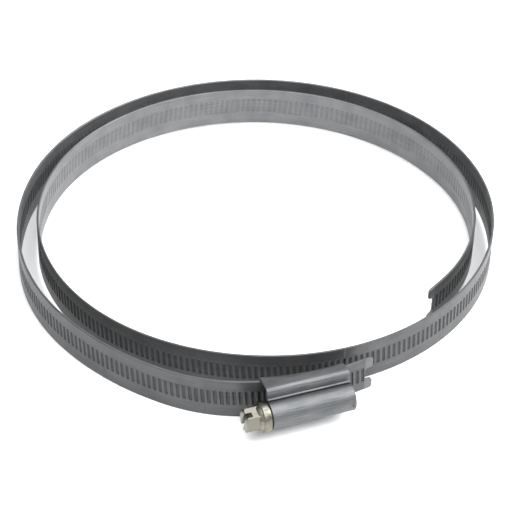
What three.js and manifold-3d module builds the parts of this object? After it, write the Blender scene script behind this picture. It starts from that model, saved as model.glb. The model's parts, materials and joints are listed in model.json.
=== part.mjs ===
// Worm-drive hose clamp lying on its side, open, with its strip coiled nearly twice round.
// Millimetres, +Z up. X runs left to right and the housing is at the front (-Y).
import * as THREE from 'three';
import { mergeVertices } from 'three/addons/utils/BufferGeometryUtils.js';
import Module from 'manifold-3d';

const wasm = await Module();
wasm.setup();

// ---- driving dimensions ----
const STRIP_WIDTH = 13;
const STRIP_THICK = 0.7;
const GROOVE_PITCH = 1.8;
const GROOVE_LENGTH = 5.1;
const GROOVE_WIDTH = 0.95;
const GROOVE_UP = 6.8;           // middle of the grooves above the strip's lower edge
const GROOVE_DEPTH = 0.3;
const GROOVE_SLANT = 4;          // degrees, the worm's helix angle
const END_SINK = 0.02;           // the flat tips are this much under the strip's faces
const FINGER_LENGTH = 2.6;       // the two rounded fingers at each strip end
const FINGER_WIDTH = 3.6;
const FINGER_CORNER = 1.2;

const SHEET = 0.6;               // saddle and shell sheet
const BASE = 0.9;                // strip's lower edge above the lowest face

const HOUSING_RADIUS = 68;       // of the strip where it runs through the housing
const HINGE_ANGLE = 3.7;         // degrees round that arc where the strip becomes free
const STUB_FROM = 25.5;          // the fixed end is flat and narrower from here
const STUB_HEADING = 29.5;       // degrees
const STUB_LENGTH = 11.8;
const STUB_LOW = 1.4;            // its edges above the strip's lower edge
const STUB_HIGH = 12.75;
const STUB_GROOVE_UP = 7.15;
const FIRST_HINGE = [-0.5, -79];

const SADDLE_LENGTH = 24.65;
const WALL_INNER = -1.25;        // saddle's inner wall, outward from the strip's middle
const LIP_OUTER = 3.7;           // outer face of the saddle's folded-down leg
const LIP_UP = 10.35;            // its lower edge
const RIDGE_RADIUS = 1.5;

const BARREL_ANGLE = 17.45;      // degrees, middle of the barrel on the housing arc
const BARREL_HEADING = 21;       // degrees, which way the screw's axis runs
const BARREL_LENGTH = 24.6;
const BARREL_RADIUS = 4;
const BORE_RADIUS = 3.4;
const AXIS_OUT = 5.4;            // screw axis, outward from the strip's middle
const AXIS_UP = 6.5;
const FLANGE_OUT = 2.25;         // inner face of the shell's flanges
const CHANNEL_OPEN = 2.3;        // half the slot through which the worm meets the strip
const JOURNAL_HOLE = 2.45;

const WORM_CREST = 3.3;
const WORM_ROOT = 2.55;
const WORM_ROWS = 5;             // rows of vertices to one pitch
const COLLAR_RADIUS = 4.4;
const COLLAR_GAP = 0.45;         // between the barrel's end and the collar
const COLLAR_THICK = 2.2;
const HEX_FLATS = 6.35;
const HEX_LENGTH = 4.9;          // from the collar to the tip, the cone included
const HEX_TURN = 17.7;           // degrees
const SLOT_TURN = 68;            // degrees from outward towards up
const SLOT_WIDTH = 1.6;
const SLOT_DEPTH = 2.1;

const LINK_SWEEP = 27.5;         // degrees turned by each stretch of strip between bends
const LINK_GAP = 0.3;
const TAIL_EXTRA = 11;           // degrees more on the last stretch
const TAIL_TIP = 7;              // straight tip, mm
// strip radius for each stretch, from the housing round to the free end
const LINK_RADII = [
  49.5, 85.5, 73, 81.5, 75, 75, 72.5, 72.5, 70, 70, 71.5, 71.5,
  71, 71, 68, 68, 67, 67, 68.5, 68.5, 67.5, 67.5, 59, 59,
];

// ---- materials ----
function steel(color, roughness) {
  return new THREE.MeshStandardMaterial({ color, roughness, metalness: 0.9 });
}
const stripSteel = steel(0x9a9b9c, 0.42);
const housingSteel = steel(0xb4b6b9, 0.36);
const screwSteel = steel(0xbdb8a6, 0.34);

// ---- helpers ----
const rad = THREE.MathUtils.degToRad;

function bare(geometry) {
  const flat = geometry.clone();
  flat.deleteAttribute('normal');
  flat.deleteAttribute('uv');
  return mergeVertices(flat, 1e-4);
}

function toSolid(geometry) {
  const merged = bare(geometry);
  const vertProperties = new Float32Array(merged.attributes.position.array);
  const triVerts = new Uint32Array(merged.index.array);
  return new wasm.Manifold(new wasm.Mesh({ numProp: 3, vertProperties, triVerts }));
}

function toGeometry(solid) {
  const mesh = solid.getMesh();
  const geometry = new THREE.BufferGeometry();
  geometry.setAttribute('position', new THREE.BufferAttribute(mesh.vertProperties, 3));
  geometry.setIndex(new THREE.BufferAttribute(mesh.triVerts, 1));
  const clean = mergeVertices(geometry, 1e-4);
  clean.computeVertexNormals();
  return clean;
}

// a flat section (out from the strip, up) drawn out along its length in even steps
function drawn(section, length, steps) {
  const geometry = new THREE.ExtrudeGeometry(section, {
    depth: length, steps, bevelEnabled: false, curveSegments: 3,
  });
  return bare(geometry);
}

// turns a geometry's faces the other way after it has been mirrored
function faced(geometry) {
  const index = geometry.index.array;
  for (let i = 0; i < index.length; i += 3) {
    const first = index[i];
    index[i] = index[i + 2];
    index[i + 2] = first;
  }
  return geometry;
}

// moves each vertex (out, up, along) to its place on an arc round a vertical axis
function bentOnArc(geometry, centre, radius, startAngle) {
  const place = geometry.attributes.position;
  for (let i = 0; i < place.count; i++) {
    const out = place.getX(i);
    const up = place.getY(i);
    const angle = startAngle + place.getZ(i) / radius;
    const reach = radius + out;
    place.setXYZ(i, centre[0] + reach * Math.sin(angle), centre[1] - reach * Math.cos(angle), up);
  }
  return faced(geometry);
}

function mesh(name, geometry, material) {
  geometry.computeVertexNormals();
  const made = new THREE.Mesh(geometry, material);
  made.name = name;
  return made;
}

// the strip's section with rolled edges
function stripSection() {
  const half = STRIP_THICK / 2;
  const r = 0.22;
  const s = new THREE.Shape();
  s.moveTo(-half, r);
  s.lineTo(-half + r, 0);
  s.lineTo(half - r, 0);
  s.lineTo(half, r);
  s.lineTo(half, STRIP_WIDTH - r);
  s.lineTo(half - r, STRIP_WIDTH);
  s.lineTo(-half + r, STRIP_WIDTH);
  s.lineTo(-half, STRIP_WIDTH - r);
  s.closePath();
  return s;
}

// ---- where the strip runs ----
const hingeAngle = rad(HINGE_ANGLE);
const housingCentre = [
  FIRST_HINGE[0] - HOUSING_RADIUS * Math.sin(hingeAngle),
  FIRST_HINGE[1] + HOUSING_RADIUS * Math.cos(hingeAngle),
];

function onHousingArc(degrees, out) {
  const a = rad(degrees);
  const reach = HOUSING_RADIUS + out;
  return [housingCentre[0] + reach * Math.sin(a), housingCentre[1] - reach * Math.cos(a)];
}

// ---- strip end: a straight plate with two rounded fingers and pressed grooves ----
function stripEnd(length, grooves, low, high, grooveUp) {
  const thick = STRIP_THICK - 2 * END_SINK;
  const deep = length - FINGER_LENGTH;
  const corner = FINGER_CORNER;
  const tip = length - corner;
  const lowFinger = low + FINGER_WIDTH;
  const highFinger = high - FINGER_WIDTH;
  const quarter = Math.PI / 2;
  const s = new THREE.Shape();
  s.moveTo(-0.4, low);
  s.lineTo(tip, low);
  s.absarc(tip, low + corner, corner, -quarter, 0, false);
  s.absarc(tip, lowFinger - corner, corner, 0, quarter, false);
  s.lineTo(deep + 0.8, lowFinger);
  s.absarc(deep + 0.8, lowFinger + 0.8, 0.8, -quarter, -Math.PI, true);
  s.absarc(deep + 0.8, highFinger - 0.8, 0.8, Math.PI, quarter, true);
  s.lineTo(tip, highFinger);
  s.absarc(tip, highFinger + corner, corner, -quarter, 0, false);
  s.absarc(tip, high - corner, corner, 0, quarter, false);
  s.lineTo(-0.4, high);
  s.closePath();
  const plate = new THREE.ExtrudeGeometry(s, { depth: thick, bevelEnabled: false, curveSegments: 5 });
  plate.translate(0, 0, -thick / 2);
  let solid = toSolid(plate);
  for (let k = 0; k < grooves; k++) {
    const along = deep - 0.8 - k * GROOVE_PITCH;
    const groove = new THREE.BoxGeometry(GROOVE_WIDTH, GROOVE_LENGTH, GROOVE_DEPTH * 2);
    groove.rotateZ(rad(-GROOVE_SLANT));
    groove.translate(along, grooveUp, -thick / 2);
    solid = solid.subtract(toSolid(groove));
    const rib = new THREE.BoxGeometry(GROOVE_WIDTH - 0.1, GROOVE_LENGTH - 0.2, 0.3);
    rib.rotateZ(rad(-GROOVE_SLANT));
    rib.translate(along, grooveUp, thick / 2 + 0.05);
    solid = solid.add(toSolid(rib));
  }
  return toGeometry(solid);
}

// stands a strip-end plate up: its length runs along (dx, dy) and its grooved face looks outward
function standEnd(geometry, at, along, inward) {
  const basis = new THREE.Matrix4().makeBasis(
    new THREE.Vector3(along[0], along[1], 0),
    new THREE.Vector3(0, 0, 1),
    new THREE.Vector3(inward[0], inward[1], 0),
  );
  basis.setPosition(at[0], at[1], 0);
  geometry.applyMatrix4(basis);
  return geometry;
}

// ---- the strip's fixed end, held in the housing ----
function fixedEnd() {
  const from = hingeAngle + LINK_GAP / 2 / HOUSING_RADIUS;
  const length = (rad(STUB_FROM) - from) * HOUSING_RADIUS;
  const held = bentOnArc(drawn(stripSection(), length, 8), housingCentre, HOUSING_RADIUS, from);
  const a = rad(STUB_HEADING);
  const end = standEnd(
    stripEnd(STUB_LENGTH, 3, STUB_LOW, STUB_HIGH, STUB_GROOVE_UP), onHousingArc(STUB_FROM, 0),
    [Math.cos(a), Math.sin(a)], [-Math.sin(a), Math.cos(a)],
  );
  return toGeometry(toSolid(held).add(toSolid(faced(end))));
}

// ---- free strip: one arc after another, each turning the same angle ----
function freeStrip() {
  const stretches = [];
  let point = FIRST_HINGE;
  let heading = hingeAngle;
  LINK_RADII.forEach((radius, i) => {
    const last = i === LINK_RADII.length - 1;
    const sweep = rad(LINK_SWEEP + (last ? TAIL_EXTRA : 0));
    const centre = [point[0] - radius * Math.sin(heading), point[1] + radius * Math.cos(heading)];
    const trim = LINK_GAP / 2 / radius;
    const end = heading - sweep + (last ? 0 : trim);
    const length = (heading - trim - end) * radius;
    const steps = last ? 10 : 6;
    const body = bentOnArc(drawn(stripSection(), length, steps), centre, radius, end);
    heading -= sweep;
    point = [centre[0] + radius * Math.sin(heading), centre[1] - radius * Math.cos(heading)];
    stretches.push({ body, point, heading, last });
  });
  return stretches;
}

function tailStretch(stretch) {
  const along = [-Math.cos(stretch.heading), -Math.sin(stretch.heading)];
  const inward = [-Math.sin(stretch.heading), Math.cos(stretch.heading)];
  const flat = stripEnd(TAIL_TIP, 2, END_SINK, STRIP_WIDTH - END_SINK, GROOVE_UP);
  const end = standEnd(flat, stretch.point, along, inward);
  return toGeometry(toSolid(stretch.body).add(toSolid(end)));
}

// ---- barrel axis: built along +Z, the head's end up, then laid along the screw's axis ----
const barrelHeading = rad(BARREL_HEADING);
const barrelMiddle = onHousingArc(BARREL_ANGLE, AXIS_OUT);
const barrelOut = [Math.sin(barrelHeading), -Math.cos(barrelHeading)];
const barrelAlong = [Math.cos(barrelHeading), Math.sin(barrelHeading)];

function layOnBarrel(geometry) {
  const basis = new THREE.Matrix4().makeBasis(
    new THREE.Vector3(barrelOut[0], barrelOut[1], 0),
    new THREE.Vector3(0, 0, 1),
    new THREE.Vector3(-barrelAlong[0], -barrelAlong[1], 0),
  );
  basis.setPosition(barrelMiddle[0], barrelMiddle[1], AXIS_UP);
  geometry.applyMatrix4(basis);
  return geometry;
}

function rod(radius, length, sides) {
  const g = new THREE.CylinderGeometry(radius, radius, length, sides);
  g.rotateX(Math.PI / 2);
  g.translate(0, 0, length / 2);
  return g;
}

// ---- saddle: inner wall, folded over both strip edges and down outside the shell's flanges ----
function saddleSection() {
  const outer = LIP_OUTER;
  const low = -BASE;
  const high = STRIP_WIDTH + BASE;
  const lipDown = STRIP_WIDTH - LIP_UP;
  const bend = 1.2;
  const wallBend = WALL_INNER + bend;
  const ridge = outer - RIDGE_RADIUS;
  const s = new THREE.Shape();
  s.moveTo(wallBend, low);
  s.lineTo(ridge, low);
  s.absarc(ridge, low + RIDGE_RADIUS, RIDGE_RADIUS, -Math.PI / 2, 0, false);
  s.lineTo(outer, lipDown);
  s.lineTo(outer - SHEET, lipDown);
  s.lineTo(outer - SHEET, low + RIDGE_RADIUS);
  s.absarc(ridge, low + RIDGE_RADIUS, RIDGE_RADIUS - SHEET, 0, -Math.PI / 2, true);
  s.lineTo(wallBend, low + SHEET);
  s.absarc(wallBend, low + bend, bend - SHEET, -Math.PI / 2, -Math.PI, true);
  s.lineTo(WALL_INNER + SHEET, high - bend);
  s.absarc(wallBend, high - bend, bend - SHEET, Math.PI, Math.PI / 2, true);
  s.lineTo(ridge, high - SHEET);
  s.absarc(ridge, high - RIDGE_RADIUS, RIDGE_RADIUS - SHEET, Math.PI / 2, 0, true);
  s.lineTo(outer - SHEET, LIP_UP);
  s.lineTo(outer, LIP_UP);
  s.lineTo(outer, high - RIDGE_RADIUS);
  s.absarc(ridge, high - RIDGE_RADIUS, RIDGE_RADIUS, 0, Math.PI / 2, false);
  s.lineTo(wallBend, high);
  s.absarc(wallBend, high - bend, bend, Math.PI / 2, Math.PI, false);
  s.lineTo(WALL_INNER, low + bend);
  s.absarc(wallBend, low + bend, bend, Math.PI, Math.PI * 1.5, false);
  return s;
}

// the inner wall follows the strip's arc and the outer leg runs straight beside the barrel
function saddle() {
  const geometry = drawn(saddleSection(), SADDLE_LENGTH, 8);
  const place = geometry.attributes.position;
  for (let i = 0; i < place.count; i++) {
    const out = place.getX(i);
    const up = place.getY(i);
    const along = place.getZ(i) - SADDLE_LENGTH / 2;
    const curved = onHousingArc(BARREL_ANGLE + THREE.MathUtils.radToDeg((along - 0.6) / HOUSING_RADIUS), out);
    const reach = out - AXIS_OUT;
    const straight = [
      barrelMiddle[0] + reach * barrelOut[0] + along * barrelAlong[0],
      barrelMiddle[1] + reach * barrelOut[1] + along * barrelAlong[1],
    ];
    const share = THREE.MathUtils.smoothstep(out, 0.4, 1.6);
    place.setXYZ(
      i,
      THREE.MathUtils.lerp(curved[0], straight[0], share),
      THREE.MathUtils.lerp(curved[1], straight[1], share),
      up,
    );
  }
  return faced(geometry);
}

// ---- shell: one sheet wrapped round the screw, with a flange above and below ----
function shell() {
  const half = BARREL_LENGTH / 2;
  const near = FLANGE_OUT - AXIS_OUT;
  const far = near + SHEET;
  const top = STRIP_WIDTH / 2 - 0.3;
  const joinUp = Math.sqrt(BARREL_RADIUS ** 2 - far ** 2);
  const join = Math.atan2(joinUp, far);
  const mouth = Math.atan2(CHANNEL_OPEN, -Math.sqrt(BORE_RADIUS ** 2 - CHANNEL_OPEN ** 2));
  const s = new THREE.Shape();
  s.moveTo(near, -top);
  s.lineTo(far, -top);
  s.lineTo(far, -joinUp);
  s.absarc(0, 0, BARREL_RADIUS, -join, join, false);
  s.lineTo(far, top);
  s.lineTo(near, top);
  s.lineTo(near, CHANNEL_OPEN);
  s.absarc(0, 0, BORE_RADIUS, mouth, -mouth, true);
  s.lineTo(near, -CHANNEL_OPEN);
  s.closePath();
  const wrap = new THREE.ExtrudeGeometry(s, { depth: BARREL_LENGTH, bevelEnabled: false, curveSegments: 28 });
  wrap.translate(0, 0, -half);
  // the end away from the head is closed in round the screw's journal
  const crimp = rod(BARREL_RADIUS - 0.25, 0.9, 40);
  crimp.translate(0, 0, -half);
  const hole = rod(JOURNAL_HOLE, 3, 32);
  hole.translate(0, 0, -half - 1);
  const gap = new THREE.BoxGeometry(4, 12, 4);
  gap.translate(near - 2 + 0.05, 0, -half);
  const end = toSolid(crimp).subtract(toSolid(hole)).subtract(toSolid(gap));
  const nub = new THREE.BoxGeometry(0.9, 1.1, 1);
  nub.translate(BARREL_RADIUS - 0.1, 0, -half + 0.6);
  return layOnBarrel(toGeometry(toSolid(wrap).add(end).add(toSolid(nub))));
}

// ---- worm screw ----
function threadHeight(along, angle, from, to) {
  const turn = along / GROOVE_PITCH - angle / (2 * Math.PI);
  const off = Math.abs(turn - Math.round(turn)) * GROOVE_PITCH;
  const rise = THREE.MathUtils.clamp((0.52 - off) / 0.34, 0, 1);
  const runOut = THREE.MathUtils.clamp(Math.min(along - from, to - along) / 0.8, 0, 1);
  return rise * runOut;
}

function wormScrew() {
  // the head's end is at +Z and the barrel's middle at 0
  const half = BARREL_LENGTH / 2;
  const collarFrom = half + COLLAR_GAP;
  const headFrom = collarFrom + COLLAR_THICK;
  const tip = headFrom + HEX_LENGTH;
  const wormFrom = -half + 1.5;
  const wormTo = half - 1.4;
  const profile = [[0, -half + 0.1], [2.2, -half + 0.1], [2.2, -half + 1.2]];
  const rows = Math.round((wormTo - wormFrom) / GROOVE_PITCH * WORM_ROWS);
  for (let i = 0; i <= rows; i++) {
    profile.push([WORM_ROOT, wormFrom + (wormTo - wormFrom) * i / rows]);
  }
  profile.push(
    [3.15, half - 1], [3.15, collarFrom],
    [COLLAR_RADIUS - 0.3, collarFrom], [COLLAR_RADIUS, collarFrom + 0.3],
    [COLLAR_RADIUS, headFrom - 0.35], [COLLAR_RADIUS - 0.35, headFrom],
    [3.4, headFrom + 1.2], [0, headFrom + 1.2],
  );
  const lathe = new THREE.LatheGeometry(profile.map((p) => new THREE.Vector2(p[0], p[1])), 20);
  lathe.rotateX(Math.PI / 2);
  const core = bare(lathe);
  const place = core.attributes.position;
  for (let i = 0; i < place.count; i++) {
    const x = place.getX(i);
    const y = place.getY(i);
    const along = place.getZ(i);
    if (along > wormFrom + 0.01 && along < wormTo - 0.01) {
      const height = threadHeight(along, Math.atan2(y, x), wormFrom, wormTo);
      const swell = 1 + height * (WORM_CREST - WORM_ROOT) / WORM_ROOT;
      place.setXYZ(i, x * swell, y * swell, along);
    }
  }
  const corner = HEX_FLATS / 2 / Math.cos(Math.PI / 6);
  const hex = rod(corner, HEX_LENGTH - 0.6, 6);
  hex.rotateZ(rad(HEX_TURN));
  hex.translate(0, 0, headFrom + 0.6);
  const cone = new THREE.LatheGeometry([
    [0, headFrom], [corner + 1, headFrom], [corner + 1, tip - 1.3],
    [HEX_FLATS / 2 - 0.3, tip], [0, tip],
  ].map((p) => new THREE.Vector2(p[0], p[1])), 30);
  cone.rotateX(Math.PI / 2);
  const slot = new THREE.BoxGeometry(12, SLOT_WIDTH, SLOT_DEPTH * 2);
  slot.rotateZ(rad(SLOT_TURN));
  slot.translate(0, 0, tip);
  const head = toSolid(hex).intersect(toSolid(cone)).subtract(toSolid(slot));
  return layOnBarrel(toGeometry(toSolid(core).add(head)));
}

// ---- assembly ----
const clamp = new THREE.Group();
clamp.name = 'hose_clamp';
clamp.add(mesh('saddle', saddle(), housingSteel));
clamp.add(mesh('screw_barrel_shell', shell(), housingSteel));
clamp.add(mesh('strip_fixed_end', fixedEnd(), stripSteel));
clamp.add(mesh('worm_screw', wormScrew(), screwSteel));
freeStrip().forEach((stretch, i) => {
  const number = String(i + 1).padStart(2, '0');
  const name = stretch.last ? 'strip_free_end' : `strip_stretch_${number}`;
  const geometry = stretch.last ? tailStretch(stretch) : stretch.body;
  clamp.add(mesh(name, geometry, stripSteel));
});

// ---- middle of the base at the origin ----
clamp.updateMatrixWorld(true);
const box = new THREE.Box3().setFromObject(clamp, true);
const middle = box.getCenter(new THREE.Vector3());
clamp.position.set(-middle.x, -middle.y, -box.min.z);

export default clamp;
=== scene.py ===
"""The look of an open worm-drive hose clamp: zinc-plated strip, pressed housing and worm screw."""

import math

import bmesh
import bpy
import numpy as np
from mathutils import Matrix, Vector
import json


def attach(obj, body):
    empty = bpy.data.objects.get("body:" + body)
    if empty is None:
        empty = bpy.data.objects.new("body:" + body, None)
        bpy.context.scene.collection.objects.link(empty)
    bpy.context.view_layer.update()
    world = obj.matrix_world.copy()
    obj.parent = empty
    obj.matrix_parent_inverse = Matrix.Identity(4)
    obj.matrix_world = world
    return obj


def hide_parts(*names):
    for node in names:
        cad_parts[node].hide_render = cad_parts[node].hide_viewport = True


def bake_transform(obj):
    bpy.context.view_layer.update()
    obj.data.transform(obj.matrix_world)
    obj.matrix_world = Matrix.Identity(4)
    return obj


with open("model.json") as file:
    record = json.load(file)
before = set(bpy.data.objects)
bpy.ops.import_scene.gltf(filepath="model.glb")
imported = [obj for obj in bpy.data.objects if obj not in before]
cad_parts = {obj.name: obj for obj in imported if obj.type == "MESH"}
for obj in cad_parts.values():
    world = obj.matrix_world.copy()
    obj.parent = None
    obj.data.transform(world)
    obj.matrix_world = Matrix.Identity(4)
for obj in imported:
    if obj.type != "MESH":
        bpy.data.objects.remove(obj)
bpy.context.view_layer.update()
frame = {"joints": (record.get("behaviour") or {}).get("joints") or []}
MM = 0.001

# ---- strip, in millimetres ----
STRIP_WIDTH = 13.0
STRIP_THICK = 0.7
MID = STRIP_WIDTH / 2
PITCH = 1.8
GROOVE_UP = 6.8
GROOVE_HALF_LENGTH = 2.6
GROOVE_HALF_WIDTH = 0.58
GROOVE_DEPTH = 0.3
RIB_HEIGHT = 0.16
GROOVE_SIDE = 0.24               # width of the sloped wall along a groove's sides
GROOVE_END = 0.4                 # and round its ends
SLANT = math.tan(math.radians(4))
SLANT_FADE = 3.0                 # past the grooves the slant dies out over this height
EDGE = 0.22                      # radius of the strip's rolled edges
PRESSED_LOW = 4.2                # the band of the strip that holds the grooves
PRESSED_HIGH = 9.4
FINGER_LENGTH = 2.6
FINGER_WIDTH = 3.6
FINGER_CORNER = 1.2
FINGER_FILLET = 0.8
FINGER_EDGE = 0.2
FINGER_TIP_HALF = 0.12           # half the thickness at the very tip, and how fast it grows
FINGER_TIP_FLARE = 1.2
FIRST_GROOVE = 0.8               # from the recess to the nearest groove's middle
BASE = 0.9                       # the strip's lower edge above the floor
END_CLEAR = 0.02                 # no row of vertices is nearer than this to the end of a piece
NEARLY = 0.01
NO_GROOVE = 9.0                  # an offset that is outside every groove
INNER_GRAIN = 30                 # the inner face takes its grain from another patch

HOUSING_RADIUS = 68.0
HINGE_ANGLE = math.radians(3.7)
STUB_FROM = math.radians(25.5)
STUB_HEADING = math.radians(29.5)
STUB_LENGTH = 11.8
STUB_LOW = 1.4
STUB_HIGH = 12.75
STUB_GROOVE_UP = 7.15
STUB_STEP = 1.2                  # length over which the strip narrows to the stub
HINGE_LEAD = 2.5                 # the fixed end starts to bend this far before the first hinge
LINK_SWEEP = math.radians(27.5)
TAIL_EXTRA = math.radians(11)
TAIL_TIP = 7.0
LINK_RADII = [
    49.5, 85.5, 73, 81.5, 75, 75, 72.5, 72.5, 70, 70, 71.5, 71.5,
    71, 71, 68, 68, 67, 67, 68.5, 68.5, 67.5, 67.5, 59, 59,
]

# ---- housing and screw ----
SHEET = 0.6
SADDLE_LENGTH = 24.65
SADDLE_SHIFT = 0.6               # the inner wall sits this much nearer the screw's head than the barrel
CURVED_TO = 0.4                  # the saddle follows the strip's arc as far out as this
STRAIGHT_AFTER = 1.2             # and runs straight from this much further out
WALL_INNER = -1.25
WALL_BEND = 1.2
LIP_OUTER = 3.7
LIP_UP = 10.35
RIDGE_RADIUS = 1.5
LIP_ROLL = 0.55
LIP_ROLL_UP = 0.75
LIP_ROLL_END = 255
FLANGE_SHORT = 0.3
BARREL_ANGLE = math.radians(17.45)
BARREL_HEADING = math.radians(21)
BARREL_LENGTH = 24.6
BARREL_RADIUS = 4.0
BORE_RADIUS = 3.4
AXIS_OUT = 5.4
AXIS_UP = 6.5
FLANGE_OUT = 2.25
CHANNEL_OPEN = 2.3
JOURNAL_HOLE = 2.45
CRIMP_RADIUS = 3.6
CRIMP_THICK = 0.9
CRIMP_SPREAD = 140
NUB_ROOT = 0.5
NUB_RISE = 0.35
NUB_HALF_WIDTH = 0.55
NUB_FROM = 0.1
NUB_LENGTH = 1.0
COLLAR_RADIUS = 4.4
COLLAR_GAP = 0.45
COLLAR_THICK = 2.2
HEX_FLATS = 6.35
HEX_LENGTH = 4.9
HEX_TURN = math.radians(47.7)
SLOT_TURN = math.radians(68)
SLOT_WIDTH = 1.6
SLOT_DEPTH = 2.1
SLOT_CUT_LENGTH = 12
HEAD_CHAMFER = 1.3
WORM_CREST = 3.3
WORM_ROOT = 2.55
WORM_SIDES = 48
WORM_ROWS = 12                   # to one pitch
WORM_FROM = 1.2                  # from the barrel's far end
WORM_TO = 1.0                    # and from its near end
THREAD_SHORT = 2.9               # the thread is this much shorter than the barrel
THREAD_HALF_WIDTH = 0.2
THREAD_FLANK = 0.3
THREAD_RUN_OUT = 0.8
SHARP_EDGE = 40
TURNED_GRAIN_RADIUS = 4.5
WORM_GRAIN_RADIUS = 4

# ---- looks ----
PAINTED_OUTER_SHADE = 0.52                # painted shade: colour of the outer face against the inner one
PAINTED_GROOVE_SHADE = 0.3               # painted shade: colour at the darkest place of a groove
GROOVE_FLOOR_SHADE = 0.62              # how much of that painted shade the floor and the walls take
GROOVE_WALL_SHADE = 1.7
# share of the painted groove shade that the inner face takes
INNER_GROOVE = 0.35
DULL_PLATING = 0.55
BRIGHT_PLATING = 1.0
CLOUD_SCALE = 160.0
SPECK_SCALE = 1500.0
CLOUD_TINT = (0.82, 0.83, 0.84)
SCREW_TINT = (0.9, 0.87, 0.77)
RELIEF = 0.00004
FLOOR_HALF = 4.0
PAPER = 0.95
SKY_DIM = 0.36
SKY_BRIGHT = 1.43
SKY_COLOUR = (0.95, 0.97, 1.0)
FRONT_SHARE = -0.5               # the sky is brighter towards the front
CAMERA_PLACE = (0.000043, -0.473110, 0.374590)
CAMERA_PITCH = 38.166
CAMERA_ROLL = 1.401
LENS = 137.11
SENSOR = 36


# ---- where the strip runs ----
joints = {j["name"]: j for j in frame["joints"]}
first_hinge = np.array(joints["strip_bend_01"]["pos_m"][:2]) / MM
housing_centre = first_hinge + HOUSING_RADIUS * np.array(
    [-math.sin(HINGE_ANGLE), math.cos(HINGE_ANGLE)])


def on_housing_arc(angle, out=0.0):
    reach = HOUSING_RADIUS + out
    return housing_centre + reach * np.array([math.sin(angle), -math.cos(angle)])


class Stretch:
    """A run of strip: an arc turning clockwise seen from above, or a straight when radius is None."""

    def __init__(self, point, heading, radius, length):
        self.point = np.array(point, float)
        self.heading = heading
        self.radius = radius
        self.length = length

    def at(self, along):
        """(middle point, heading) so far along this run."""
        if self.radius is None:
            ahead = np.array([-math.cos(self.heading), -math.sin(self.heading)])
            return self.point + along * ahead, self.heading
        inward = np.array([-math.sin(self.heading), math.cos(self.heading)])
        centre = self.point + self.radius * inward
        heading = self.heading - along / self.radius
        return centre + self.radius * np.array([math.sin(heading), -math.cos(heading)]), heading


def lay_strip():
    """The runs of the whole strip, from the stub beside the housing to the free end."""
    stub = on_housing_arc(STUB_FROM)
    tip = stub + STUB_LENGTH * np.array([math.cos(STUB_HEADING), math.sin(STUB_HEADING)])
    runs = [Stretch(tip, STUB_HEADING, None, STUB_LENGTH)]
    runs.append(Stretch(stub, STUB_FROM, HOUSING_RADIUS, (STUB_FROM - HINGE_ANGLE) * HOUSING_RADIUS))
    for i, radius in enumerate(LINK_RADII):
        point, heading = runs[-1].at(runs[-1].length)
        sweep = LINK_SWEEP + (TAIL_EXTRA if i == len(LINK_RADII) - 1 else 0)
        runs.append(Stretch(point, heading, radius, sweep * radius))
    point, heading = runs[-1].at(runs[-1].length)
    runs.append(Stretch(point, heading, None, TAIL_TIP))
    return runs


strip_runs = lay_strip()
run_starts = np.concatenate([[0.0], np.cumsum([r.length for r in strip_runs])])
strip_length = run_starts[-1]


def strip_at(along):
    """(x, y, outward x, outward y) of the strip's middle, so far from the stub's tip."""
    i = int(np.clip(np.searchsorted(run_starts, along, side="right") - 1, 0, len(strip_runs) - 1))
    point, heading = strip_runs[i].at(along - run_starts[i])
    return point[0], point[1], math.sin(heading), -math.cos(heading)


# ---- meshes ----
def new_mesh(name, vertices, faces, material, uvs=None, press=None):
    """uvs: (u, v) of each vertex, in metres along and across the grain. press: (painted groove shade,
    outer face).
    """
    data = bpy.data.meshes.new(name)
    data.from_pydata([tuple(v) for v in vertices], [], faces)
    if uvs is not None:
        layer = data.uv_layers.new(name="grain")
        corner_vertex = np.zeros(len(data.loops), np.int32)
        data.loops.foreach_get("vertex_index", corner_vertex)
        layer.data.foreach_set("uv", np.asarray(uvs, np.float32)[corner_vertex].ravel())
    if press is not None:
        layer = data.uv_layers.new(name="press")
        layer.data.foreach_set("uv", np.asarray(press, np.float32)[corner_vertex].ravel())
    data.polygons.foreach_set("use_smooth", [True] * len(data.polygons))
    data.materials.append(material)
    obj = bpy.data.objects.new(name, data)
    bpy.context.scene.collection.objects.link(obj)
    return obj


def loop_skin(rings, close_ends=True):
    """Faces joining equal rings of vertices one after another, and both end caps."""
    count = len(rings[0])
    faces = []
    for a, b in zip(rings[:-1], rings[1:]):
        for i in range(count):
            j = (i + 1) % count
            faces.append((a[i], a[j], b[j], b[i]))
    if close_ends:
        faces.append(tuple(reversed(rings[0])))
        faces.append(tuple(rings[-1]))
    return faces


def smooth_step(x):
    x = np.clip(x, 0, 1)
    return x * x * (3 - 2 * x)


def arc_points(cx, cy, radius, start, end, count):
    return [
        (cx + radius * math.cos(math.radians(a)), cy + radius * math.sin(math.radians(a)))
        for a in np.linspace(start, end, count)
    ]


def groove_shape(off, up):
    """How deep the pressed groove is, 0 to 1, at an offset from its middle."""
    across = smooth_step((GROOVE_HALF_WIDTH - abs(off)) / GROOVE_SIDE)
    down = smooth_step((GROOVE_HALF_LENGTH - abs(up - GROOVE_UP)) / GROOVE_END)
    return across * down


def in_stub(along, up):
    """Height on the strip, moved where the fixed end is narrower."""
    share = 1 - smooth_step((along - STUB_LENGTH + STUB_STEP / 2) / STUB_STEP)
    rise = STUB_GROOVE_UP - GROOVE_UP
    narrow = np.interp(
        up, (0, PRESSED_LOW, PRESSED_HIGH, STRIP_WIDTH),
        (STUB_LOW, PRESSED_LOW + rise, PRESSED_HIGH + rise, STUB_HIGH))
    return up + (float(narrow) - up) * float(share)


# heights of the vertices on the strip's faces, closer at the grooves' ends
ROWS = [
    0.5, 1.6, 3.0, 3.8, 4.2, 4.33, 4.47, 4.6, 5.4, 6.8,
    8.2, 9.0, 9.13, 9.27, 9.4, 9.9, 10.8, 11.8, 12.5,
]
# offsets of the rows of vertices from a groove's middle
COLUMNS = (-0.9, -0.58, -0.5, -0.42, -0.34, 0.0, 0.34, 0.42, 0.5, 0.58)


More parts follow.
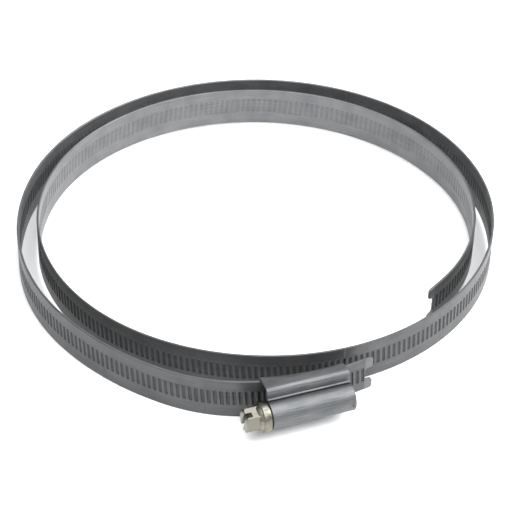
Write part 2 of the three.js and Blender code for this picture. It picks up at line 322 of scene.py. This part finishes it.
def strip_ring(groove):
    """The strip's section as (out, up, groove) points, outer face upward then inner face downward."""
    half = STRIP_THICK / 2
    out, high = half - EDGE, STRIP_WIDTH - EDGE
    outer = [(half, up, groove(up)) for up in ROWS]
    inner = [(-half, up, groove(up)) for up in reversed(ROWS)]
    corners = [
        [(*point, 0.0) for point in arc_points(x, up, EDGE, turn, turn + 90, 3)]
        for x, up, turn in ((out, EDGE, -90), (out, high, 0), (-out, high, 90), (-out, EDGE, 180))
    ]
    return corners[0] + outer + corners[1] + corners[2] + inner + corners[3]


def grooved_strip(name, start, end, material):
    """Strip from start to end along its length, with its pressed grooves."""
    first = FINGER_LENGTH + FIRST_GROOVE
    last = strip_length - FINGER_LENGTH - FIRST_GROOVE
    stations = [(start, None)]
    k = math.floor((start - first) / PITCH) - 1
    while first + k * PITCH - PITCH < end:
        middle = first + k * PITCH
        for c in COLUMNS:
            if start + END_CLEAR < middle + c < end - END_CLEAR:
                grooved = first - NEARLY <= middle <= last + NEARLY
                stations.append((middle + c, middle if grooved else None))
        k += 1
    stations.append((end, None))
    vertices, uvs, press, rings = [], [], [], []
    for along, middle in stations:
        off = along - middle if middle is not None else NO_GROOVE
        # at the very ends of a piece the nearest groove still shapes the metal
        if middle is None:
            nearest = first + round((along - first) / PITCH) * PITCH
            if first - NEARLY <= nearest <= last + NEARLY:
                off = along - nearest
        ring = []
        for out, up, depth in strip_ring(lambda u, o=off: groove_shape(o, u)):
            past = max(0.0, abs(up - MID) - GROOVE_HALF_LENGTH)
            lean = (up - MID) * SLANT * max(0.0, 1 - past / SLANT_FADE)
            if along in (start, end):
                lean = 0.0
            x, y, ox, oy = strip_at(along + lean)
            reach = out - depth * (GROOVE_DEPTH if out > 0 else RIB_HEIGHT)
            ring.append(len(vertices))
            height = in_stub(along, up) + BASE
            vertices.append(((x + ox * reach) * MM, (y + oy * reach) * MM, height * MM))
            uvs.append(((along + lean) * MM, (up + (INNER_GRAIN if out < 0 else 0)) * MM))
            # painted shade in the grooves: some on the floor, most on the sloped walls
            shade = GROOVE_FLOOR_SHADE * depth + GROOVE_WALL_SHADE * depth * (1 - depth)
            press.append((shade, 1.0 if out > 0 else 0.0))
        rings.append(ring)
    faces = [tuple(reversed(f)) for f in loop_skin(rings)]
    return new_mesh(name, vertices, faces, material, uvs, press)


def finger_pair(name, root, tip, edges, material):
    """The two rounded fingers of a strip end. They start just inside the strip at root."""
    toward = 1 if tip > root else -1
    length = abs(tip - root)
    straight = length - FINGER_CORNER
    half_finger = FINGER_WIDTH / 2
    steps = [0.0, 0.15, 0.3, 0.5, 0.8, straight]
    steps += [straight + FINGER_CORNER * math.sin(math.radians(a)) for a in (15, 30, 45, 58, 70, 80, 86)]
    half = STRIP_THICK / 2
    vertices, uvs, faces = [], [], []
    for centre in (edges[0] + half_finger, edges[1] - half_finger):
        rings = []
        for step in steps:
            past = max(0.0, step - straight)
            rounding = FINGER_CORNER - math.sqrt(max(0.0, FINGER_CORNER ** 2 - past ** 2))
            low, high = centre - half_finger + rounding, centre + half_finger - rounding
            to_fillet = FINGER_FILLET - min(step, FINGER_FILLET)
            fillet = FINGER_FILLET - math.sqrt(max(0.0, FINGER_FILLET ** 2 - to_fillet ** 2))
            if centre < MID:
                high += fillet
            else:
                low -= fillet
            x, y, ox, oy = strip_at(root + toward * step)
            r = FINGER_EDGE
            thin = min(half, FINGER_TIP_HALF + FINGER_TIP_FLARE * (length - step))
            inset = thin - r / 2
            section = []
            for cx, cz, turn in ((inset, low + r, -90), (inset, high - r, 0),
                                 (-inset, high - r, 90), (-inset, low + r, 180)):
                for a in (0, 45, 90):
                    t = math.radians(turn + a)
                    section.append((cx + r / 2 * math.cos(t), cz + r * math.sin(t)))
            ring = []
            for out, up in section:
                ring.append(len(vertices))
                vertices.append(((x + ox * out) * MM, (y + oy * out) * MM, (up + BASE) * MM))
                uvs.append(((root + toward * step) * MM, up * MM))
            rings.append(ring)
        skin = loop_skin(rings)
        faces += skin if toward < 0 else [tuple(reversed(f)) for f in skin]
    return new_mesh(name, vertices, faces, material, uvs)


# ---- along the screw axis ----
barrel_middle = on_housing_arc(BARREL_ANGLE, AXIS_OUT)
barrel_out = np.array([math.sin(BARREL_HEADING), -math.cos(BARREL_HEADING)])
barrel_along = np.array([math.cos(BARREL_HEADING), math.sin(BARREL_HEADING)])
barrel_frame = Matrix((
    (barrel_out[0], 0, -barrel_along[0], barrel_middle[0] * MM),
    (barrel_out[1], 0, -barrel_along[1], barrel_middle[1] * MM),
    (0, 1, 0, (AXIS_UP + BASE) * MM),
    (0, 0, 0, 1),
))


def saddle_point(out, along):
    """The inner wall follows the strip's arc. The outer leg runs straight beside the barrel."""
    curved = on_housing_arc(BARREL_ANGLE + (along - SADDLE_SHIFT) / HOUSING_RADIUS, out)
    straight = barrel_middle + (out - AXIS_OUT) * barrel_out + along * barrel_along
    share = smooth_step((out - CURVED_TO) / STRAIGHT_AFTER)
    return curved + (straight - curved) * share


def swept(name, section, stations, place, material):
    """A closed section carried through place(out, up, along) at each station."""
    vertices, uvs, rings = [], [], []
    round_section = [0.0]
    for a, b in zip(section, section[1:]):
        round_section.append(round_section[-1] + math.dist(a, b))
    for along in stations:
        ring = []
        for (out, up), across in zip(section, round_section):
            ring.append(len(vertices))
            vertices.append(tuple(c * MM for c in place(out, up, along)))
            uvs.append((along * MM, across * MM))
        rings.append(ring)
    return facing_out(new_mesh(name, vertices, loop_skin(rings), material, uvs))


def lip_edge():
    """The folded-down leg ends in a small outward roll that lies on the barrel."""
    roll = LIP_ROLL
    cx = LIP_OUTER - SHEET / 2 + roll
    cy = LIP_UP + LIP_ROLL_UP
    end = LIP_ROLL_END
    tip_x = cx + roll * math.cos(math.radians(end))
    tip_y = cy + roll * math.sin(math.radians(end))
    pts = arc_points(cx, cy, roll + SHEET / 2, 180, end, 7)
    pts += arc_points(tip_x, tip_y, SHEET / 2, end, end + 180, 7)[1:-1]
    pts += arc_points(cx, cy, roll - SHEET / 2, end, 180, 7)
    return pts


def saddle_section():
    inner, outer = WALL_INNER, LIP_OUTER
    low, high = -BASE, STRIP_WIDTH + BASE
    bend = WALL_BEND
    tight = bend - SHEET
    wall = inner + bend
    ridge = outer - RIDGE_RADIUS
    inside = RIDGE_RADIUS - SHEET
    turns = 9
    pts = arc_points(ridge, low + RIDGE_RADIUS, RIDGE_RADIUS, -90, 0, turns)
    pts += [(out, STRIP_WIDTH - up) for out, up in reversed(lip_edge())]
    pts += arc_points(ridge, low + RIDGE_RADIUS, inside, 0, -90, turns)
    pts += arc_points(wall, low + bend, tight, -90, -180, turns)
    pts += arc_points(wall, high - bend, tight, 180, 90, turns)
    pts += arc_points(ridge, high - RIDGE_RADIUS, inside, 90, 0, turns)
    pts += lip_edge()
    pts += arc_points(ridge, high - RIDGE_RADIUS, RIDGE_RADIUS, 0, 90, turns)
    pts += arc_points(wall, high - bend, bend, 90, 180, turns)
    pts += arc_points(wall, low + bend, bend, 180, 270, turns)
    return pts


def shell_section():
    """The wrap round the screw with a flange above and below, about the screw's axis."""
    near = FLANGE_OUT - AXIS_OUT
    far = near + SHEET
    top = MID - FLANGE_SHORT
    join = math.degrees(math.atan2(math.sqrt(BARREL_RADIUS ** 2 - far ** 2), far))
    mouth = math.degrees(math.atan2(CHANNEL_OPEN, -math.sqrt(BORE_RADIUS ** 2 - CHANNEL_OPEN ** 2)))
    round_tip = SHEET / 2
    pts = arc_points(near + round_tip, -top + round_tip, round_tip, -180, 0, 7)
    pts += arc_points(0, 0, BARREL_RADIUS, -join, join, 73)
    pts += arc_points(near + round_tip, top - round_tip, round_tip, 0, 180, 7)
    pts += [(near, CHANNEL_OPEN)]
    pts += arc_points(0, 0, BORE_RADIUS, mouth, -mouth, 73)
    pts += [(near, -CHANNEL_OPEN)]
    return pts


def turned(name, profile, material, sides, around=(0, 360)):
    """A (radius, along) profile turned about the screw axis. A closed profile makes a tube."""
    full = around[1] - around[0] >= 360
    angles = np.radians(np.linspace(around[0], around[1], sides + 1))
    if full:
        angles = angles[:-1]
    vertices, uvs, rings = [], [], []
    for a in angles:
        ring = []
        travel = 0.0
        before = profile[0]
        for radius, along in profile:
            travel += math.dist(before, (radius, along))
            before = (radius, along)
            ring.append(len(vertices))
            vertices.append((radius * math.cos(a) * MM, radius * math.sin(a) * MM, along * MM))
            uvs.append((a * TURNED_GRAIN_RADIUS * MM, travel * MM))
        rings.append(ring)
    if full:
        rings.append(rings[0])
    faces = loop_skin(rings, close_ends=not full)
    obj = new_mesh(name, vertices, faces, material, uvs)
    obj.data.transform(barrel_frame)
    return obj


def facing_out(obj):
    """Makes every face of a closed mesh look outward."""
    work = bmesh.new()
    work.from_mesh(obj.data)
    bmesh.ops.remove_doubles(work, verts=work.verts, dist=1e-7)
    bmesh.ops.recalc_face_normals(work, faces=work.faces)
    work.to_mesh(obj.data)
    work.free()
    return obj


def sharpened(obj):
    obj.data.set_sharp_from_angle(angle=math.radians(SHARP_EDGE))
    return obj


def softened(obj, width, degrees):
    """Rounds the edges that turn by more than so many degrees."""
    soften = obj.modifiers.new("soften", "BEVEL")
    soften.width = width * MM
    soften.segments = 3
    soften.limit_method = "ANGLE"
    soften.angle_limit = math.radians(degrees)
    return sharpened(obj)


# ---- materials ----
def grooved_colour(nodes, links, metal_colour):
    """Painted shade: darker in the pressed grooves, and a darker outer face that leaves the inner face
    lighter.
    """
    press = nodes.new("ShaderNodeUVMap")
    press.uv_map = "press"
    parts = nodes.new("ShaderNodeSeparateXYZ")
    links.new(press.outputs["UV"], parts.inputs["Vector"])
    # painted shade: the outer face is multiplied darker than the inner one
    inner = nodes.new("ShaderNodeMix")
    inner.data_type = "RGBA"
    inner.blend_type = "MULTIPLY"
    inner.inputs["B"].default_value = (PAINTED_OUTER_SHADE, PAINTED_OUTER_SHADE, PAINTED_OUTER_SHADE, 1)
    links.new(parts.outputs["Y"], inner.inputs["Factor"])
    links.new(metal_colour.outputs["Result"], inner.inputs["A"])
    depth = nodes.new("ShaderNodeMath")
    depth.operation = "MULTIPLY"
    links.new(parts.outputs["X"], depth.inputs[0])
    side = nodes.new("ShaderNodeMapRange")
    side.inputs["To Min"].default_value = INNER_GROOVE
    side.inputs["To Max"].default_value = 1.0
    links.new(parts.outputs["Y"], side.inputs["Value"])
    links.new(side.outputs["Result"], depth.inputs[1])
    # painted shade: darkens the colour in the grooves
    pressed = nodes.new("ShaderNodeMix")
    pressed.data_type = "RGBA"
    pressed.blend_type = "MULTIPLY"
    pressed.inputs["B"].default_value = (PAINTED_GROOVE_SHADE, PAINTED_GROOVE_SHADE, PAINTED_GROOVE_SHADE, 1)
    links.new(depth.outputs["Value"], pressed.inputs["Factor"])
    links.new(inner.outputs["Result"], pressed.inputs["A"])
    return pressed


def noise(nodes, scale, detail):
    texture = nodes.new("ShaderNodeTexNoise")
    texture.inputs["Scale"].default_value = scale
    texture.inputs["Detail"].default_value = detail
    return texture


def metal(name, base, dark, rough, grain_scale, bump, metallic, tint=CLOUD_TINT, grooved=False):
    """Plated sheet steel: fine lines along the grain, cloudy plating and a speckled roughness."""
    material = bpy.data.materials.new(name)
    material.use_nodes = True
    nodes, links = material.node_tree.nodes, material.node_tree.links
    shader = nodes["Principled BSDF"]
    shader.inputs["Metallic"].default_value = metallic

    grain_place = nodes.new("ShaderNodeUVMap")
    grain_place.uv_map = "grain"
    stretch = nodes.new("ShaderNodeMapping")
    stretch.inputs["Scale"].default_value = grain_scale
    lines = noise(nodes, 1.0, 6.0)
    lines.inputs["Roughness"].default_value = 0.6
    links.new(grain_place.outputs["UV"], stretch.inputs["Vector"])
    links.new(stretch.outputs["Vector"], lines.inputs["Vector"])

    place = nodes.new("ShaderNodeTexCoord")
    cloud = noise(nodes, CLOUD_SCALE, 5.0)
    links.new(place.outputs["Object"], cloud.inputs["Vector"])
    speck = noise(nodes, SPECK_SCALE, 3.0)
    links.new(place.outputs["Object"], speck.inputs["Vector"])

    mix = nodes.new("ShaderNodeMix")
    mix.data_type = "RGBA"
    mix.inputs["A"].default_value = (*dark, 1)
    mix.inputs["B"].default_value = (*base, 1)
    ramp = nodes.new("ShaderNodeMapRange")
    ramp.inputs["From Min"].default_value = 0.32
    ramp.inputs["From Max"].default_value = 0.6
    links.new(lines.outputs["Fac"], ramp.inputs["Value"])
    links.new(ramp.outputs["Result"], mix.inputs["Factor"])
    clouded = nodes.new("ShaderNodeMix")
    clouded.data_type = "RGBA"
    clouded.blend_type = "MULTIPLY"
    clouded.inputs["B"].default_value = (*tint, 1)
    cloud_ramp = nodes.new("ShaderNodeMapRange")
    cloud_ramp.inputs["From Min"].default_value = 0.4
    cloud_ramp.inputs["From Max"].default_value = 0.65
    links.new(cloud.outputs["Fac"], cloud_ramp.inputs["Value"])
    links.new(cloud_ramp.outputs["Result"], clouded.inputs["Factor"])
    links.new(mix.outputs["Result"], clouded.inputs["A"])
    colour = clouded
    if grooved:
        colour = grooved_colour(nodes, links, clouded)
    links.new(colour.outputs["Result"], shader.inputs["Base Color"])

    rough_map = nodes.new("ShaderNodeMapRange")
    rough_map.inputs["To Min"].default_value = rough[0]
    rough_map.inputs["To Max"].default_value = rough[1]
    links.new(speck.outputs["Fac"], rough_map.inputs["Value"])
    links.new(rough_map.outputs["Result"], shader.inputs["Roughness"])

    height = nodes.new("ShaderNodeMath")
    height.operation = "ADD"
    links.new(lines.outputs["Fac"], height.inputs[0])
    links.new(speck.outputs["Fac"], height.inputs[1])
    relief = nodes.new("ShaderNodeBump")
    relief.inputs["Strength"].default_value = bump
    relief.inputs["Distance"].default_value = RELIEF
    links.new(height.outputs["Value"], relief.inputs["Height"])
    links.new(relief.outputs["Normal"], shader.inputs["Normal"])
    return material


strip_metal = metal(
    "strip_steel", base=(0.176, 0.178, 0.18), dark=(0.098, 0.1, 0.102), rough=(0.38, 0.52),
    grain_scale=(60, 9000, 1), bump=0.45, metallic=DULL_PLATING, grooved=True)
plain_strip_metal = metal(
    "strip_steel_plain", base=(0.14, 0.142, 0.144), dark=(0.088, 0.09, 0.092), rough=(0.38, 0.52),
    grain_scale=(60, 9000, 1), bump=0.45, metallic=DULL_PLATING)
housing_metal = metal(
    "housing_steel", base=(0.16, 0.162, 0.165), dark=(0.088, 0.09, 0.093), rough=(0.42, 0.6),
    grain_scale=(120, 5000, 1), bump=0.6, metallic=BRIGHT_PLATING)
screw_metal = metal(
    "screw_steel", base=(0.22, 0.213, 0.185), dark=(0.12, 0.116, 0.098), rough=(0.24, 0.4),
    grain_scale=(3000, 300, 1), bump=0.35, metallic=BRIGHT_PLATING, tint=SCREW_TINT)


# ---- the strip ----
def middle_of(link):
    """Distance along the strip to the middle of stretch 1 to 24."""
    return (run_starts[link + 1] + run_starts[link + 2]) / 2


def frame_point(along):
    x, y, _, _ = strip_at(along)
    return (x * MM, y * MM, (MID + BASE) * MM)


LINKS = len(LINK_RADII)
nodes_stood_for = ["strip_fixed_end"] + [f"strip_stretch_{k:02d}" for k in range(1, LINKS)]
for k in range(LINKS):
    start = FINGER_LENGTH if k == 0 else middle_of(k)
    end = middle_of(k + 1)
    piece = grooved_strip(f"strip_bend_{k + 1:02d}", start, end, strip_metal)
    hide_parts(nodes_stood_for[k])
    hinge = run_starts[k + 2]
    bend_from = hinge - HINGE_LEAD if k == 0 else start
    frame_point(bend_from)
    frame_point(end)
    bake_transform(piece)

tail = grooved_strip("strip_tail", middle_of(LINKS), strip_length - FINGER_LENGTH, strip_metal)
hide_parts("strip_free_end")
stub_fingers = finger_pair(
    "strip_fingers_fixed", FINGER_LENGTH, 0.0, (STUB_LOW, STUB_HIGH), plain_strip_metal)
tail_fingers = finger_pair(
    "strip_fingers_free", strip_length - FINGER_LENGTH, strip_length, (0, STRIP_WIDTH),
    plain_strip_metal)
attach(tail, "free_end")
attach(tail_fingers, "free_end")
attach(stub_fingers, "housing")


# ---- the housing ----
half = BARREL_LENGTH / 2
saddle = swept(
    "saddle_fold", saddle_section(), np.linspace(-SADDLE_LENGTH / 2, SADDLE_LENGTH / 2, 49),
    lambda out, up, along: (*saddle_point(out, along), up + BASE), housing_metal)
softened(saddle, 0.14, 60)
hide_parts("saddle")
barrel = swept(
    "barrel", shell_section(), np.linspace(-half, half, 25),
    lambda out, up, along: (out, up, along), housing_metal)
barrel.data.transform(barrel_frame)
softened(barrel, 0.12, 60)
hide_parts("screw_barrel_shell")
crimp_profile = [
    (JOURNAL_HOLE, -half), (CRIMP_RADIUS, -half), (CRIMP_RADIUS, -half + CRIMP_THICK),
    (JOURNAL_HOLE, -half + CRIMP_THICK), (JOURNAL_HOLE, -half),
]
crimp = sharpened(facing_out(turned(
    "barrel_crimp", crimp_profile, housing_metal, 72, around=(-CRIMP_SPREAD, CRIMP_SPREAD))))
nub_data = [
    (x, y, z)
    for x in (BARREL_RADIUS - NUB_ROOT, BARREL_RADIUS + NUB_RISE)
    for y in (-NUB_HALF_WIDTH, NUB_HALF_WIDTH)
    for z in (-half + NUB_FROM, -half + NUB_FROM + NUB_LENGTH)
]
nub = new_mesh(
    "barrel_nub", [tuple(c * MM for c in v) for v in nub_data],
    [(0, 1, 3, 2), (4, 6, 7, 5), (0, 4, 5, 1), (2, 3, 7, 6), (0, 2, 6, 4), (1, 5, 7, 3)],
    housing_metal, [(z * MM, y * MM) for _, y, z in nub_data])
nub.data.transform(barrel_frame)
softened(facing_out(nub), 0.25, 40)
for piece in (saddle, barrel, crimp, nub):
    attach(piece, "housing")


# ---- the worm screw ----
def cylinder(radius, low, high, sides, turn=0.0):
    angles = [2 * math.pi * i / sides + turn for i in range(sides)]
    vertices = [
        (radius * math.cos(a) * MM, radius * math.sin(a) * MM, z * MM)
        for z in (low, high) for a in angles
    ]
    rings = [list(range(sides)), list(range(sides, 2 * sides))]
    obj = new_mesh("tool", vertices, loop_skin(rings), screw_metal)
    obj.data.transform(barrel_frame)
    return facing_out(obj)


def cut(obj, tool, operation):
    modifier = obj.modifiers.new(operation, "BOOLEAN")
    modifier.operation = operation
    modifier.object = tool
    modifier.solver = "EXACT"
    bpy.context.view_layer.objects.active = obj
    with bpy.context.temp_override(object=obj, active_object=obj):
        bpy.ops.object.modifier_apply(modifier=modifier.name)
    bpy.data.objects.remove(tool)


collar_from = half + COLLAR_GAP
head_from = collar_from + COLLAR_THICK
tip = head_from + HEX_LENGTH
corner = HEX_FLATS / 2 / math.cos(math.pi / 6)
head = cylinder(corner, head_from + 0.6, tip, 6, HEX_TURN)
head.name = "hex_head"
chamfer = facing_out(turned("chamfer", [
    (0, head_from), (corner + 1, head_from), (corner + 1, tip - HEAD_CHAMFER),
    (HEX_FLATS / 2 - 0.3, tip), (0, tip),
], screw_metal, 96))
cut(head, chamfer, "INTERSECT")
slot_box = cylinder(SLOT_WIDTH / math.sqrt(2), tip - SLOT_DEPTH, tip + 2, 4, math.pi / 4)
slot_box.data.transform(barrel_frame.inverted())
slot_box.data.transform(Matrix.Diagonal((SLOT_CUT_LENGTH / SLOT_WIDTH, 1, 1, 1)))
slot_box.data.transform(barrel_frame @ Matrix.Rotation(SLOT_TURN, 4, "Z"))
cut(head, slot_box, "DIFFERENCE")
facing_out(head)
softened(head, 0.14, 28)

collar_profile = [
    (0, half - 3), (3.15, half - 3), (3.15, collar_from), (COLLAR_RADIUS - 0.35, collar_from),
    (COLLAR_RADIUS - 0.1, collar_from + 0.1), (COLLAR_RADIUS, collar_from + 0.35),
    (COLLAR_RADIUS, head_from - 0.45), (COLLAR_RADIUS - 0.1, head_from - 0.15),
    (COLLAR_RADIUS - 0.35, head_from), (COLLAR_RADIUS - 0.5, head_from + 0.05),
    (3.45, head_from + 1.1), (3.3, head_from + 1.2), (0, head_from + 1.2),
]
collar = sharpened(facing_out(turned("collar", collar_profile, screw_metal, 96)))


def worm():
    """The worm as one skin: a core whose radius swells where the thread passes."""
    low, high = -half + WORM_FROM, half - WORM_TO
    run_half = (BARREL_LENGTH - THREAD_SHORT) / 2
    stations = int((high - low) / PITCH * WORM_ROWS)
    vertices, uvs, rings = [], [], []
    for along in np.linspace(low, high, stations):
        ring = []
        for i in range(WORM_SIDES):
            a = 2 * math.pi * i / WORM_SIDES
            phase = ((along / PITCH - a / (2 * math.pi)) % 1.0) - 0.5
            crest = 1 - smooth_step((abs(phase) * PITCH - THREAD_HALF_WIDTH) / THREAD_FLANK)
            run_out = smooth_step((run_half - abs(along)) / THREAD_RUN_OUT)
            radius = WORM_ROOT + (WORM_CREST - WORM_ROOT) * crest * run_out
            ring.append(len(vertices))
            vertices.append((radius * math.cos(a) * MM, radius * math.sin(a) * MM, along * MM))
            uvs.append((a * WORM_GRAIN_RADIUS * MM, along * MM))
        rings.append(ring)
    obj = new_mesh("worm", vertices, loop_skin(rings), screw_metal, uvs)
    obj.data.transform(barrel_frame)
    return facing_out(obj)


worm_piece = worm()
journal_profile = [
    (0, -half + 0.1), (2.0, -half + 0.1), (2.2, -half + 0.3), (2.2, -half + 1.6), (0, -half + 1.6)]
journal = sharpened(facing_out(turned("screw_journal", journal_profile, screw_metal, 64)))
for piece in (head, collar, worm_piece, journal):
    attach(piece, "screw")
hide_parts("worm_screw")

# ---- floor, light and camera ----
floor_data = bpy.data.meshes.new("floor")
floor_data.from_pydata(
    [(x * FLOOR_HALF, y * FLOOR_HALF, 0) for x, y in ((-1, -1), (1, -1), (1, 1), (-1, 1))],
    [], [(0, 1, 2, 3)])
floor = bpy.data.objects.new("floor", floor_data)
bpy.context.scene.collection.objects.link(floor)
paper = bpy.data.materials.new("paper")
paper.use_nodes = True
paper_shader = paper.node_tree.nodes["Principled BSDF"]
paper_shader.inputs["Base Color"].default_value = (PAPER, PAPER, PAPER, 1)
paper_shader.inputs["Roughness"].default_value = 0.9
floor_data.materials.append(paper)


def softbox(name, place, aim, width, height, watts):
    data = bpy.data.lights.new(name, "AREA")
    data.shape = "RECTANGLE"
    data.size = width
    data.size_y = height
    data.energy = watts
    lamp = bpy.data.objects.new(name, data)
    lamp.location = place
    lamp.rotation_euler = (Vector(aim) - Vector(place)).to_track_quat("-Z", "Y").to_euler()
    bpy.context.scene.collection.objects.link(lamp)


softbox("overhead", (0.25, -0.2, 1.0), (0.1, -0.05, 0), 1.5, 1.4, 22)
softbox("right_side", (0.75, 0.05, 0.5), (0.3, 0, 0), 0.5, 0.5, 6.5)

# ---- surroundings: pale above, dim towards the horizon ----
world = bpy.data.worlds.new("studio")
bpy.context.scene.world = world
world.use_nodes = True
sky = world.node_tree
background = sky.nodes["Background"]
toward = sky.nodes.new("ShaderNodeTexCoord")
split = sky.nodes.new("ShaderNodeSeparateXYZ")
fade = sky.nodes.new("ShaderNodeMapRange")
fade.inputs["From Min"].default_value = 0.35
fade.inputs["From Max"].default_value = 0.95
fade.inputs["To Min"].default_value = SKY_DIM
fade.inputs["To Max"].default_value = SKY_BRIGHT
front = sky.nodes.new("ShaderNodeMath")
front.operation = "MULTIPLY_ADD"
front.inputs[1].default_value = FRONT_SHARE
sky.links.new(toward.outputs["Generated"], split.inputs["Vector"])
sky.links.new(split.outputs["Y"], front.inputs[0])
sky.links.new(split.outputs["Z"], front.inputs[2])
sky.links.new(front.outputs["Value"], fade.inputs["Value"])
sky.links.new(fade.outputs["Result"], background.inputs["Strength"])
background.inputs["Color"].default_value = (*SKY_COLOUR, 1)
bpy.context.scene.view_settings.view_transform = "Standard"

camera_data = bpy.data.cameras.new("camera")
camera_data.lens = LENS
camera_data.sensor_width = SENSOR
camera_data.clip_end = 20
camera = bpy.data.objects.new("camera", camera_data)
camera.matrix_world = (
    Matrix.Translation(CAMERA_PLACE)
    @ Matrix.Rotation(math.radians(90 - CAMERA_PITCH), 4, "X")
    @ Matrix.Rotation(math.radians(CAMERA_ROLL), 4, "Z")
)
bpy.context.scene.collection.objects.link(camera)
bpy.context.scene.camera = camera
